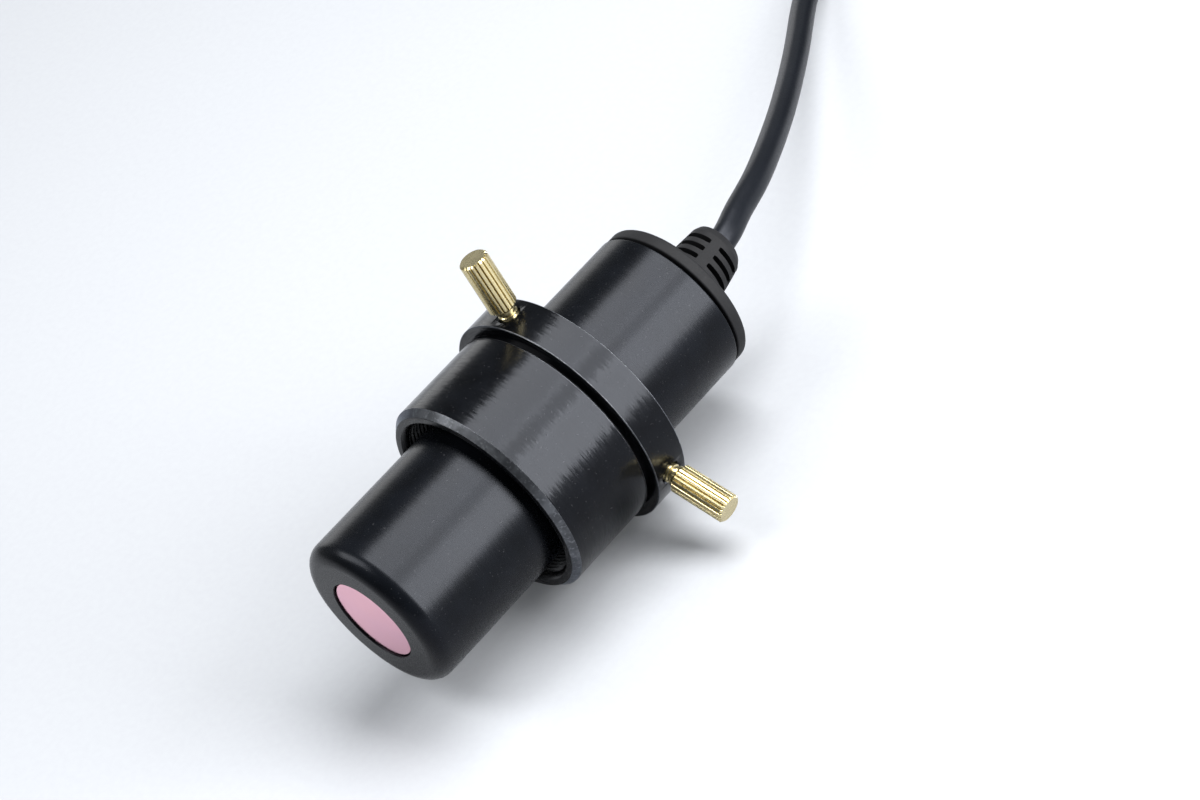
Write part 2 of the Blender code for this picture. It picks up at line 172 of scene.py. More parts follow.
# ---------------------------------------------------------------- materials
class Surface:
    """A Principled material whose colour, roughness and bump are worked out by nodes."""

    def __init__(self, name, constants):
        self.made = bpy.data.materials.new(name)
        self.made.use_nodes = True
        self.tree = self.made.node_tree
        self.shader = self.tree.nodes["Principled BSDF"]
        self.normal = None
        for socket, value in constants.items():
            self.set(socket, value)

    def set(self, socket, value):
        self.plug(self.shader.inputs[socket], value)

    def plug(self, socket, value):
        if isinstance(value, bpy.types.NodeSocket):
            self.tree.links.new(value, socket)
        else:
            socket.default_value = value

    def add(self, kind, inputs, **properties):
        node = self.tree.nodes.new("ShaderNode" + kind)
        for name, value in properties.items():
            setattr(node, name, value)
        for name, value in inputs.items():
            self.plug(node.inputs[name], value)
        return node

    def place(self):
        """Where a point is in its piece's own frame."""
        return self.add("TexCoord", {}).outputs["Object"]

    def math(self, operation, first, second=0.0):
        return self.add("Math", {0: first, 1: second}, operation=operation).outputs[0]

    def noise(self, place, scale, detail=2.0, rough=0.5):
        inputs = {"Vector": place, "Scale": scale, "Detail": detail, "Roughness": rough}
        return self.add("TexNoise", inputs).outputs["Fac"]

    def cells(self, place, scale, feature="F1", output="Distance"):
        inputs = {"Vector": place, "Scale": scale}
        return self.add("TexVoronoi", inputs, feature=feature).outputs[output]

    def turned(self, pitch, breaks):
        """Noise drawn out round the Z axis: lines `pitch` apart, each about 1/`breaks` radians long."""
        point = self.add("SeparateXYZ", {0: self.place()})
        x, y, z = (point.outputs[k] for k in "XYZ")
        squares = self.math("ADD", self.math("MULTIPLY", x, x), self.math("MULTIPLY", y, y))
        radius = self.math("SQRT", squares)
        safe = self.math("MAXIMUM", radius, 0.01 * MM)
        around = self.add("CombineXYZ", {
            0: self.math("MULTIPLY", self.math("DIVIDE", x, safe), breaks),
            1: self.math("MULTIPLY", self.math("DIVIDE", y, safe), breaks),
            2: self.math("DIVIDE", self.math("ADD", z, self.math("MULTIPLY", radius, 0.73)), pitch),
        })
        inputs = {"Vector": around.outputs[0], "Scale": 1.0, "Detail": 3.0, "Roughness": 0.55}
        return self.add("TexNoise", inputs).outputs["Fac"]

    def ramp(self, value, low, high, to_low=0.0, to_high=1.0):
        """Maps low..high of a value to to_low..to_high, and clamps it there."""
        inputs = {"Value": value, "From Min": low, "From Max": high,
                  "To Min": to_low, "To Max": to_high}
        return self.add("MapRange", inputs, clamp=True).outputs["Result"]

    def blend(self, share, first, second):
        """A colour between two, by share."""
        node = self.add("Mix", {"Factor": share}, data_type="RGBA")
        for name, colour in (("A", first), ("B", second)):
            socket = [s for s in node.inputs if s.name == name and s.type == "RGBA"][0]
            self.plug(socket, colour if isinstance(colour, bpy.types.NodeSocket) else (*colour, 1.0))
        return [s for s in node.outputs if s.type == "RGBA"][0]

    def brush(self, lines, tilt):
        """Tilts the skin round the Z axis, to either side by up to half of `tilt`, line by line."""
        point = self.add("SeparateXYZ", {0: self.place()})
        back = self.math("MULTIPLY", point.outputs["Y"], -1.0)
        around = self.add("CombineXYZ", {0: back, 1: point.outputs["X"]})
        in_world = self.add("VectorTransform", {"Vector": around.outputs[0]}, vector_type="NORMAL",
                            convert_from="OBJECT", convert_to="WORLD")
        unit = self.add("VectorMath", {0: in_world.outputs[0]}, operation="NORMALIZE")
        amount = self.math("MULTIPLY", self.math("SUBTRACT", lines, 0.5), tilt)
        push = self.add("VectorMath", {0: unit.outputs[0], "Scale": amount}, operation="SCALE")
        flat = self.add("NewGeometry", {}).outputs["Normal"]
        tilted = self.add("VectorMath", {0: flat, 1: push.outputs[0]}, operation="ADD")
        self.normal = self.add("VectorMath", {0: tilted.outputs[0]}, operation="NORMALIZE").outputs[0]
        self.set("Normal", self.normal)

    def bump(self, height, strength, distance):
        inputs = {"Height": height, "Strength": strength, "Distance": distance}
        if self.normal is not None:
            inputs["Normal"] = self.normal
        self.normal = self.add("Bump", inputs).outputs["Normal"]
        self.set("Normal", self.normal)


def shade(colour, factor):
    """A colour made darker or lighter."""
    return tuple(channel * factor for channel in colour)


def anodised(name, colour, roughness, pitch, breaks, marks, tilt):
    """Black anodised aluminium: a fine grain, turning marks round the axis and a few pale flecks.

    `marks` says how much the turning marks change the roughness, `tilt` how far they tilt the skin.
    """
    made = Surface(name, {"IOR": 1.22, "Specular Tint": (0.86, 0.90, 1.0, 1.0)})
    grain = made.noise(made.place(), 5200, detail=2)
    cloud = made.noise(made.place(), 260, detail=3)
    turning = made.turned(pitch, breaks)
    flecks = made.ramp(made.noise(made.place(), 3100, detail=1), 0.70, 0.78)
    tone = made.blend(made.ramp(cloud, 0.35, 0.65), shade(colour, 0.75), shade(colour, 1.6))
    made.set("Base Color", made.blend(made.math("MULTIPLY", flecks, 0.5), tone, (0.03, 0.03, 0.032)))
    spread = made.math("ADD", made.math("MULTIPLY", turning, marks), made.math("MULTIPLY", grain, 0.10))
    made.set("Roughness", made.math("ADD", spread, roughness - marks / 2 - 0.05))
    made.brush(made.turned(pitch * 1.3, breaks * 1.4), tilt)
    made.bump(turning, 0.10 + marks, 0.012 * MM)
    made.bump(grain, 0.10, 0.006 * MM)
    return made.made


def turned_metal(name, colour, roughness, mottle):
    """Bare metal off the lathe, darker by `mottle` and duller in patches."""
    made = Surface(name, {"Metallic": 1.0})
    turning = made.turned(0.09 * MM, 3.0)
    patches = made.noise(made.place(), 700, detail=3, rough=0.6)
    stain = made.ramp(patches, 0.40, 0.68)
    made.set("Base Color", made.blend(stain, colour, shade(colour, mottle)))
    dulled = made.math("ADD", made.math("MULTIPLY", stain, 0.07), roughness - 0.03)
    made.set("Roughness", made.math("ADD", made.math("MULTIPLY", turning, 0.06), dulled))
    made.bump(turning, 0.03, 0.01 * MM)
    return made.made


def cut_finish_and_painted_light(name, colour, ior, roughness, metallic):
    """Anodising over a cut edge, with flecks where it has rubbed; its paler colour also serves as painted
    light.
    """
    made = Surface(name, {"IOR": ior, "Metallic": metallic, "Specular Tint": (0.88, 0.92, 1.0, 1.0)})
    turning = made.turned(0.10 * MM, 6.0)
    flecks = made.ramp(made.noise(made.place(), 2400, detail=2), 0.56, 0.72)
    rub = made.ramp(made.noise(made.place(), 500, detail=3), 0.42, 0.60)
    tone = made.blend(rub, shade(colour, 0.6), colour)
    made.set("Base Color", made.blend(flecks, tone, shade(colour, 1.5)))
    made.set("Roughness", made.ramp(turning, 0.3, 0.7, roughness - 0.06, roughness + 0.12))
    made.bump(turning, 0.12, 0.012 * MM)
    return made.made


def rubber(name, colour, roughness):
    """Moulded soft rubber: a fine matt skin with dust in it."""
    made = Surface(name, {"IOR": 1.2})
    skin = made.noise(made.place(), 4200, detail=3)
    patches = made.noise(made.place(), 350, detail=2)
    dust = made.ramp(made.noise(made.place(), 2300, detail=1), 0.68, 0.76, 0.0, 0.35)
    tone = made.blend(made.ramp(patches, 0.35, 0.65), shade(colour, 0.88), colour)
    made.set("Base Color", made.blend(dust, tone, tuple(c * 1.7 + 0.004 for c in colour)))
    made.set("Roughness", made.ramp(skin, 0.3, 0.7, roughness - 0.06, roughness + 0.06))
    made.bump(skin, 0.35, 0.02 * MM)
    return made.made


def jacket(name, colour, roughness):
    """The lead's smooth plastic jacket, with faint waves from the twisted wires beneath."""
    made = Surface(name, {"IOR": 1.28, "Specular Tint": (0.84, 0.88, 1.0, 1.0)})
    waves = made.noise(made.place(), 160, detail=1)
    skin = made.noise(made.place(), 3800, detail=2)
    made.set("Base Color", made.blend(waves, shade(colour, 0.85), shade(colour, 1.2)))
    made.set("Roughness", made.ramp(skin, 0.3, 0.7, roughness - 0.05, roughness + 0.06))
    made.bump(waves, 0.25, 0.12 * MM)
    made.bump(skin, 0.12, 0.012 * MM)
    return made.made


def moulded(name, colour, roughness, texture=0.02 * MM):
    """Hard moulded plastic with a spark-eroded texture."""
    made = Surface(name, {"IOR": 1.46})
    grain = made.noise(made.place(), 3300, detail=3, rough=0.6)
    patches = made.noise(made.place(), 220, detail=2)
    made.set("Base Color", made.blend(patches, shade(colour, 0.92), shade(colour, 1.08)))
    made.set("Roughness", made.ramp(grain, 0.3, 0.7, roughness - 0.05, roughness + 0.07))
    made.bump(grain, 0.4, texture)
    return made.made


def coated_window():
    """A filter glass whose coating sends back rose light, lilac where it is seen aslant."""
    made = Surface("rose_coating", {"Metallic": 1.0})
    slant = made.add("LayerWeight", {"Blend": 0.5}).outputs["Facing"]
    drift = made.noise(made.place(), 110, detail=2)
    rose = made.blend(made.ramp(drift, 0.35, 0.65), (0.86, 0.415, 0.495), (0.91, 0.43, 0.47))
    lilac = (0.77, 0.455, 0.64)
    made.set("Base Color", made.blend(made.ramp(slant, 0.55, 1.0), rose, lilac))
    smear = made.noise(made.place(), 420, detail=3)
    made.set("Roughness", made.ramp(smear, 0.3, 0.7, 0.16, 0.21))
    made.bump(smear, 0.02, 0.01 * MM)
    return made.made


def clear_glass():
    made = Surface("clear_glass", {"Transmission Weight": 1.0, "IOR": 1.5,
                                   "Base Color": (0.93, 0.97, 0.96, 1.0)})
    smear = made.noise(made.place(), 600, detail=3)
    made.set("Roughness", made.ramp(smear, 0.3, 0.7, 0.02, 0.07))
    made.bump(smear, 0.02, 0.01 * MM)
    return made.made


def circuit_board():
    """Green solder resist over copper tracks, with bare solder pads."""
    made = Surface("solder_resist", {"IOR": 1.5})
    place = made.place()
    tracks = made.ramp(made.cells(place, 700, "DISTANCE_TO_EDGE"), 0.04, 0.08)
    pads = made.ramp(made.cells(place, 1100), 0.16, 0.20, 1.0, 0.0)
    grain = made.noise(place, 2500, detail=2)
    green = made.blend(tracks, (0.05, 0.30, 0.13), (0.015, 0.13, 0.055))
    made.set("Base Color", made.blend(pads, green, (0.62, 0.62, 0.60)))
    made.set("Metallic", pads)
    made.set("Roughness", made.ramp(grain, 0.3, 0.7, 0.28, 0.42))
    made.bump(tracks, 0.4, 0.03 * MM)
    return made.made


def tape(name, colour):
    """Hook-and-loop tape: woven rows with a fuzz of loops."""
    made = Surface(name, {"Sheen Weight": 0.35, "Sheen Roughness": 0.5})
    loops = made.cells(made.place(), 2600)
    inputs = {"Vector": made.place(), "Scale": 420.0, "Distortion": 1.5, "Detail": 2.0}
    rows = made.add("TexWave", inputs, bands_direction="Y").outputs["Fac"]
    fuzz = made.math("MULTIPLY", loops, made.math("ADD", made.math("MULTIPLY", rows, 0.5), 0.5))
    made.set("Base Color", made.blend(fuzz, shade(colour, 0.5), shade(colour, 1.8)))
    made.set("Roughness", made.ramp(loops, 0.0, 0.6, 0.95, 0.8))
    made.bump(fuzz, 0.9, 0.12 * MM)
    return made.made


# ---------------------------------------------------------------- mesh tools
SEGMENTS = 192  # round a turned piece
SHARP = math.radians(32)  # edges that bend more than this stay crisp


def settle(name, bm, surface, frame_matrix=Matrix(), sharp=SHARP, weighted=True):
    """Turns a bmesh that was made in frame_matrix's frame into a named, smooth-shaded piece."""
    bmesh.ops.remove_doubles(bm, verts=bm.verts, dist=1e-7)
    bmesh.ops.recalc_face_normals(bm, faces=bm.faces)
    mesh = bpy.data.meshes.new(name)
    bm.to_mesh(mesh)
    bm.free()
    mesh.shade_smooth()
    mesh.set_sharp_from_angle(angle=sharp)
    mesh.materials.append(surface)
    piece = bpy.data.objects.new(name, mesh)
    piece.matrix_world = frame_matrix
    bpy.context.scene.collection.objects.link(piece)
    if weighted:
        smooth = piece.modifiers.new("weighted", "WEIGHTED_NORMAL")
        smooth.keep_sharp = True
    return piece


def bridge(bm, rings, closed=True):
    """Joins rings of points by faces.

    A closed skin runs round to its first ring again, and an open one gets a face at either end.
    """
    made = [[bm.verts.new(point) for point in ring] for ring in rings]
    pairs = zip(made, made[1:] + made[:1]) if closed else zip(made, made[1:])
    for low, high in pairs:
        for i in range(len(low)):
            j = (i + 1) % len(low)
            bm.faces.new((low[i], low[j], high[j], high[i]))
    if not closed:
        bm.faces.new(list(reversed(made[0])))
        bm.faces.new(made[-1])


def rounded(corners, steps=5):
    """An outline through (height, radius, corner radius) points; a corner radius may be left out."""
    outline = []
    for i, (height, radius, *corner) in enumerate(corners):
        if not corner:
            outline.append((height, radius))
            continue
        here = Vector((height, radius))
        back = (Vector(corners[i - 1][:2]) - here).normalized()
        ahead = (Vector(corners[(i + 1) % len(corners)][:2]) - here).normalized()
        half = back.angle(ahead) / 2
        centre = here + (back + ahead).normalized() * corner[0] / math.sin(half)
        first = here + back * corner[0] / math.tan(half) - centre
        last = here + ahead * corner[0] / math.tan(half) - centre
        sweep = first.angle(last)
        for k in range(steps + 1):
            a = sweep * k / steps
            spoke = (first * math.sin(sweep - a) + last * math.sin(a)) / math.sin(sweep)
            outline.append(tuple(centre + spoke))
    return outline


def ring(height, radius, segments):
    """One ring about Z; radius is a number or a function of the angle."""
    points = []
    for i in range(segments):
        a = math.tau * i / segments
        r = radius(a) if callable(radius) else radius
        points.append((r * math.cos(a), r * math.sin(a), height))
    return points


def lathe(name, outline, surface, frame_matrix=AXIS_FRAME, segments=SEGMENTS, closed=True,
          sharp=SHARP):
    """A piece turned about its frame's Z, from an outline of (height, radius) points."""
    bm = bmesh.new()
    bridge(bm, [ring(height, radius, segments) for height, radius in outline], closed)
    return settle(name, bm, surface, frame_matrix, sharp)


def carve(piece, cutter):
    """Cuts one piece out of another for good, and removes the cutter."""
    cut = piece.modifiers.new("carve", "BOOLEAN")
    cut.operation = "DIFFERENCE"
    cut.solver = "EXACT"
    cut.object = cutter
    weighted = piece.modifiers.get("weighted")
    if weighted is not None:
        piece.modifiers.remove(weighted)
    bpy.context.view_layer.update()
    solid = bpy.data.meshes.new_from_object(piece.evaluated_get(bpy.context.evaluated_depsgraph_get()))
    piece.modifiers.clear()
    old = piece.data
    piece.data = solid
    solid.name = old.name
    bpy.data.meshes.remove(old)
    bpy.data.objects.remove(cutter)
    solid.shade_smooth()
    solid.set_sharp_from_angle(angle=SHARP)
    smooth = piece.modifiers.new("weighted", "WEIGHTED_NORMAL")
    smooth.keep_sharp = True


def refinish(piece, surface, wanted):
    """Gives another finish to the faces that `wanted` picks by height, radius and lean towards Z."""
    piece.data.materials.append(surface)
    index = len(piece.data.materials) - 1
    for face in piece.data.polygons:
        height, radius = face.center.z, math.hypot(face.center.x, face.center.y)
        if wanted(height, radius, abs(face.normal.z)):
            face.material_index = index


def lay(piece, body, slot, *nodes):
    """Puts a finished piece on its body, in place of its CAD nodes."""
    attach(piece, body)
    if nodes:
        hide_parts(*nodes)
    return piece


# ---------------------------------------------------------------- barrel
NOSE_ROUNDING = 2.3 * MM
APERTURE_R = 6.32 * MM
LIP = 1.0 * MM  # how thick the lip in front of the window is
SEAT_R = 7.5 * MM
SEAT_END = 5.3 * MM  # how far the window's seat goes in from the nose
TUBE_BORE_R = 10.6 * MM
WINDOW_GAP = 0.1 * MM


def build_barrel(black, rose):
    outline = rounded([
        (0, APERTURE_R, 0.12 * MM),
        (0, TUBE_R, NOSE_ROUNDING),
        (TUBE_LENGTH, TUBE_R, 0.18 * MM),
        (TUBE_LENGTH, TUBE_BORE_R, 0.1 * MM),
        (SEAT_END, TUBE_BORE_R),
        (SEAT_END, SEAT_R),
        (LIP, SEAT_R),
        (LIP, APERTURE_R, 0.1 * MM),
    ], steps=8)
    lay(lathe("barrel", outline, black), "camera", "black_anodised", "body_tube")

    start, end = span("front_window")
    radius = reach("front_window")
    boss = APERTURE_R - WINDOW_GAP
    outline = rounded([
        (start, 0.0),
        (start, boss, 0.22 * MM),
        (LIP + WINDOW_GAP, boss),
        (LIP + WINDOW_GAP, radius),
        (end, radius, 0.15 * MM),
        (end, 0.0),
    ], steps=4)
    # The end faces of the open skin stand for the two points on the axis.
    lay(lathe("window", outline[1:-1], rose, closed=False), "camera", "coated_glass", "front_window")


# ---------------------------------------------------------------- adapter
SLEEVE_R = 15.43 * MM
SLEEVE_CHAMFER = (0.95 * MM, 0.8 * MM)  # along the axis, across it
MOUTH_R = 13.25 * MM
MOUTH_DEPTH = 13.0 * MM
MOUTH_CHAMFER = 0.5 * MM
THREAD_START = 0.7 * MM  # from the adapter's front
THREAD_PITCH = 0.6 * MM
THREAD_DEPTH = 0.3 * MM
THREAD_TURNS = 15
ROWS_PER_TURN = 6
PAINTED_LIGHT_DEPTH = 5.0 * MM  # how far into the mouth the thread gets painted light: a paler finish in place of light on its ridges
GROOVE_START = 14.22 * MM  # from the adapter's front
GROOVE_STEP = 0.26 * MM  # both how wide and how high the step in the groove is
GROOVE_R = 14.75 * MM
FLANGE_START = 14.95 * MM
SLIDE_GAP = 0.15 * MM
EDGE = 0.14 * MM  # the rounding of an outer edge
SCREW_HOLE_R = 1.5 * MM
SCREW_HOLE_FLARE = 0.5 * MM


def mouth_thread(front):
    """The rows of the internal thread, from deep in the mouth out to its edge."""
    rows = []
    count = THREAD_TURNS * ROWS_PER_TURN
    for k in range(count + 1):
        depth = THREAD_START + THREAD_PITCH * (count - k) / ROWS_PER_TURN

        def radius(angle, depth=depth):
            wave = abs(2 * ((depth / THREAD_PITCH - angle / math.tau) % 1.0) - 1)
            fade = min(1.0, (depth - THREAD_START) / THREAD_PITCH)
            return MOUTH_R + THREAD_DEPTH * fade * (wave - 0.5)

        rows.append((front + depth, radius))
    return rows


def build_adapter(black, cut_or_lit_finish, highlight_edge):
    front, end = span("adapter_ring")
    flange_r = reach("adapter_ring")
    along, across = SLEEVE_CHAMFER
    bore = TUBE_R + SLIDE_GAP
    outside = rounded([
        (front, MOUTH_R + MOUTH_CHAMFER, 0.1 * MM),
        (front, SLEEVE_R - across, 0.09 * MM),
        (front + along, SLEEVE_R, 0.12 * MM),
        (front + GROOVE_START, SLEEVE_R, EDGE),
        (front + GROOVE_START, GROOVE_R + GROOVE_STEP),
        (front + GROOVE_START + GROOVE_STEP, GROOVE_R + GROOVE_STEP, 0.05 * MM),
        (front + GROOVE_START + GROOVE_STEP, GROOVE_R),
        (front + FLANGE_START, GROOVE_R),
        (front + FLANGE_START, flange_r, EDGE),
        (end, flange_r, EDGE),
        (end, bore, 0.25 * MM),
        (front + MOUTH_DEPTH, bore),
        (front + MOUTH_DEPTH, MOUTH_R + 0.02 * MM),
        (front + MOUTH_CHAMFER, MOUTH_R),
    ], steps=4)
    # The last point of the outside only gives its first corner a direction.
    adapter = lathe("adapter", outside[:-1] + mouth_thread(front), black)
    drill = [
        (TUBE_R - MM, SCREW_HOLE_R),
        (flange_r - 0.3 * MM, SCREW_HOLE_R),
        (flange_r + 0.4 * MM, SCREW_HOLE_R + SCREW_HOLE_FLARE),
    ]
    for joint in screw_joints():
        carve(adapter, lathe("hole", drill, black, screw_frame(joint), 48, closed=False))

    chamfer_slope = along / math.hypot(along, across)

    # The cut front face and chamfer get a paler finish; the thread near the mouth gets it as painted light
    # on its ridges.
    def is_cut_or_painted_lit(height, radius, slope):
        front_face = height < front + along and slope > 0.5 and radius > MOUTH_R
        mouth = radius < MOUTH_R + THREAD_DEPTH and front < height < front + PAINTED_LIGHT_DEPTH
        return front_face or (mouth and slope < 0.97)

    # Painted highlight: these edge bevels get a pale metal, so that they show as thin bright lines of
    # light.
    def is_painted_highlight_edge(height, radius, slope):
        edge = radius > GROOVE_R - 0.1 * MM and 0.18 < slope < 0.985
        return edge and abs(slope - chamfer_slope) > 0.1

    refinish(adapter, cut_or_lit_finish, is_cut_or_painted_lit)
    refinish(adapter, highlight_edge, is_painted_highlight_edge)
    lay(adapter, "adapter", "turned_black", "adapter_ring")


# ---------------------------------------------------------------- thumbscrews
TEETH = 20
TOOTH_STEPS = 16
TIP_GAP = 0.3 * MM  # between a thumbscrew's tip and the tube
HEAD_START = 18.0 * MM  # heights here are distances from the barrel's axis
HEAD_END = 26.1 * MM
HEAD_R = 2.0 * MM
HEAD_CHAMFER = 0.24 * MM
HEAD_STEP = 0.02 * MM  # how much deeper than high the chamfer is
TOOTH_CROWN = 0.03 * MM
TOOTH_DEPTH = 0.30 * MM
TOOTH_GAP = 0.36  # of a tooth's width
COLLAR_START = HEAD_START - 0.62 * MM
COLLAR_R = 1.42 * MM
NECK_R = 1.15 * MM
THREAD_R = 1.35 * MM
SCREW_PITCH = 0.5 * MM
SCREW_CREST = 0.26 * MM
SCREW_TURN = 0.11  # radians that each thumbscrew is turned past the one before


def screw_joints():
    return [joint for joint in frame["joints"] if joint["child"].startswith("thumbscrew")]


def screw_frame(joint):
    """A frame on the barrel's axis whose Z points out along a thumbscrew."""
    low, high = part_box(joint["child"])
    outward = Vector(joint["axis"])
    return (Matrix.Translation((AXIS_X, (low.y + high.y) / 2, AXIS_Z))
            @ outward.to_track_quat("Z", "Y").to_matrix().to_4x4())


def knurl(limit, phase):
    """A straight knurl, broad lands with narrow V grooves between them, cut down to a limit."""
    def radius(angle):
        share = ((angle - phase) * TEETH / math.tau) % 1.0
        across = min(share, 1 - share) / (TOOTH_GAP / 2)
        crown = TOOTH_CROWN * (2 * share - 1) ** 2
        groove = TOOTH_DEPTH * (1 - across) if across < 1 else 0.0
        return min(limit, HEAD_R - crown - groove)
    return radius


def screw_thread(start, end):
    """The rows of the thread between two heights, running out at both ends."""
    steps = round((end - start) / SCREW_PITCH * ROWS_PER_TURN)
    for k in range(steps + 1):
        height = start + (end - start) * k / steps

        def radius(angle, height=height, fade=min(1.0, k / ROWS_PER_TURN, (steps - k) / ROWS_PER_TURN)):
            wave = abs(2 * ((height / SCREW_PITCH - angle / math.tau) % 1.0) - 1)
            return THREAD_R - SCREW_CREST * (1 - wave) * fade

        yield height, radius


def build_thumbscrew(name, joint, brass, phase):
    tip = TUBE_R + TIP_GAP
    collar = COLLAR_START
    end_r = HEAD_R - HEAD_CHAMFER
    outline = [
        (tip, THREAD_R - 0.45 * MM),
        (tip + 0.25 * MM, THREAD_R - 0.2 * MM),
        *screw_thread(tip + 0.4 * MM, collar - 0.5 * MM),
        (collar - 0.35 * MM, NECK_R),
        (collar, NECK_R),
        (collar + 0.01 * MM, COLLAR_R - 0.08 * MM),
        (collar + 0.09 * MM, COLLAR_R),
        (collar + 0.34 * MM, COLLAR_R),
        (collar + 0.40 * MM, COLLAR_R - 0.07 * MM),
        (collar + 0.41 * MM, NECK_R),
        (HEAD_START, NECK_R),
        (HEAD_START + 0.01 * MM, knurl(end_r - HEAD_STEP, phase)),
        (HEAD_START + HEAD_CHAMFER, knurl(HEAD_R, phase)),
        (HEAD_END - HEAD_CHAMFER, knurl(HEAD_R, phase)),
        (HEAD_END, knurl(end_r - HEAD_STEP, phase)),
        (HEAD_END, end_r - 0.25 * MM),
    ]
    piece = lathe(name, outline, brass, screw_frame(joint), TEETH * TOOTH_STEPS, closed=False,
                  sharp=math.radians(25))
    lay(piece, joint["child"], "brass", joint["child"])


# ---------------------------------------------------------------- rear cap and strain relief
CORD_R = 1.9 * MM
CORD_PLAY = 0.2 * MM
CAP_EDGE = 0.5 * MM
CAP_PLUG = 6.0 * MM  # how far the cap goes into the tube
CAP_SEAM = 0.16 * MM
DISH_DEPTH = 0.25 * MM
DISH_RADII = (8.2 * MM, 5.6 * MM, 5.2 * MM)
RELIEF_R = (4.75 * MM, 3.93 * MM, 3.45 * MM, 2.3 * MM)  # from its base to its tip
TIP_DROP = 0.28 * MM
SLOT_FIRST = 3.6 * MM  # from the relief's base
SLOT_PITCH = 1.55 * MM
SLOT_WIDTH = 0.76 * MM
SLOT_RINGS = 3
SLOTS_ROUND = 4
SLOT_STEPS = 14
SLOT_END = 0.72  # how wide a slot's ends are, as a share of its middle
SLOT_REACH = (2.25 * MM, 6.0 * MM)
WEB = math.radians(21)
RIGID_LENGTH = 3.0 * MM  # beyond this the relief gives way to the lead
WEB_TURN = math.radians(-47.5)  # one web faces this way, from local X


def build_cap(soft_black):
    start, end = span("rear_cap")
    rim_start = start + CAP_PLUG + CAP_SEAM
    radius = reach("rear_cap")
    bore = CORD_R + CORD_PLAY
    plug_r = TUBE_BORE_R - CORD_PLAY
    dish_outer, dish_inner, dish_rim = DISH_RADII
    outline = rounded([
        (start, bore),
        (start, plug_r, 0.4 * MM),
        (rim_start, plug_r),
        (rim_start, radius, 0.25 * MM),
        (end, radius, CAP_EDGE),
        (end - DISH_DEPTH, dish_outer, 0.3 * MM),
        (end - DISH_DEPTH, dish_inner, 0.3 * MM),
        (end, dish_rim, 0.3 * MM),
        (end, bore),
    ], steps=6)
    lay(lathe("cap", outline, soft_black), "camera", "dark_rubber", "rear_cap")


def slot_cutter(base, soft_black):
    """Curved bars that cut the relief's slots, all in one mesh."""
    bm = bmesh.new()
    inner, outer = SLOT_REACH
    arc = math.tau / SLOTS_ROUND - WEB
    for level in range(SLOT_RINGS):
        middle = base + SLOT_FIRST + level * SLOT_PITCH
        for k in range(SLOTS_ROUND):
            first = WEB_TURN + WEB / 2 + k * math.tau / SLOTS_ROUND
            rings = []
            for i in range(SLOT_STEPS + 1):
                a = first + arc * i / SLOT_STEPS
                half = SLOT_WIDTH / 2 * (SLOT_END if i in (0, SLOT_STEPS) else 1.0)
                rings.append([(r * math.cos(a), r * math.sin(a), middle + side * half)
                              for r, side in ((inner, -1), (outer, -1), (outer, 1), (inner, 1))])
            bridge(bm, rings, closed=False)
    return settle("slots", bm, soft_black, AXIS_FRAME, weighted=False)


def build_relief(soft_black):
    """The slotted strain relief, whose far end leans towards where the lead comes out."""
    base, end = span("strain_relief")
    bore = CORD_R + 0.04 * MM
    base_r, shoulder_r, crown_r, tip_r = RELIEF_R
    outline = rounded([
        (base, bore),
        (base, base_r, 0.15 * MM),
        (end - 1.55 * MM, shoulder_r, 0.5 * MM),
        (end - 0.55 * MM, crown_r, 0.6 * MM),
        (end, tip_r, 0.3 * MM),
        (end, bore, 0.1 * MM),
    ], steps=7)
    relief = lathe("relief", outline, soft_black, segments=128)
    carve(relief, slot_cutter(base, soft_black))
    lean = Vector(LEAD_ROUTE[0]) * MM - Vector((AXIS_X, 0, AXIS_Z))
    for vertex in relief.data.vertices:
        share = max(0.0, (vertex.co.z - base - RIGID_LENGTH) / (end - base - RIGID_LENGTH))
        vertex.co += Vector((lean.x, -lean.z, 0)) * share**1.6 + Vector((0, 0, -TIP_DROP)) * share**2
    lay(relief, "camera", "dark_rubber", "strain_relief")


# ---------------------------------------------------------------- lead
# The rest of the lead is in millimetres.
ROOT_LENGTH = 4.5  # inside the strain relief, where the lead starts
ROUTE_SPACING = 1.2
# The points of part.py's lead, and those of its tail after the first.
LEAD_ROUTE = (
    (-1.55, 36.3, 17.2),
    (-2.05, 38.2, 17.25),
    (-3.4, 41.5, 17.2),
    (-7.1, 49.6, 16.2),
    (-17.0, 63.5, 12.6),
    (-29.2, 78.3, 8.4),
    (-41.9, 93.2, 4.8),
    (-50.7, 106.2, 2.7),
    (-56.3, 118.5, 2.0),
    (-59.1, 130.0, 2.0),
)
TAIL_ROUTE = (
    (-13.69, -15.09, 17.7),
    (-15.73, -9.49, 17.95),
    (-14.69, -3.63, 18.6),
    (-10.87, 0.93, 19.4),
    (-6.9, 2.7, 19.8),
    (-3.85, 3.0, 19.85),
)
OUTER, MIDDLE, INNER = 24.9, 21.0, 17.1  # radii of the turns that lie side by side
LEVELS = (1.95, 5.85, 9.75, 13.65, 17.65)  # heights of the layers
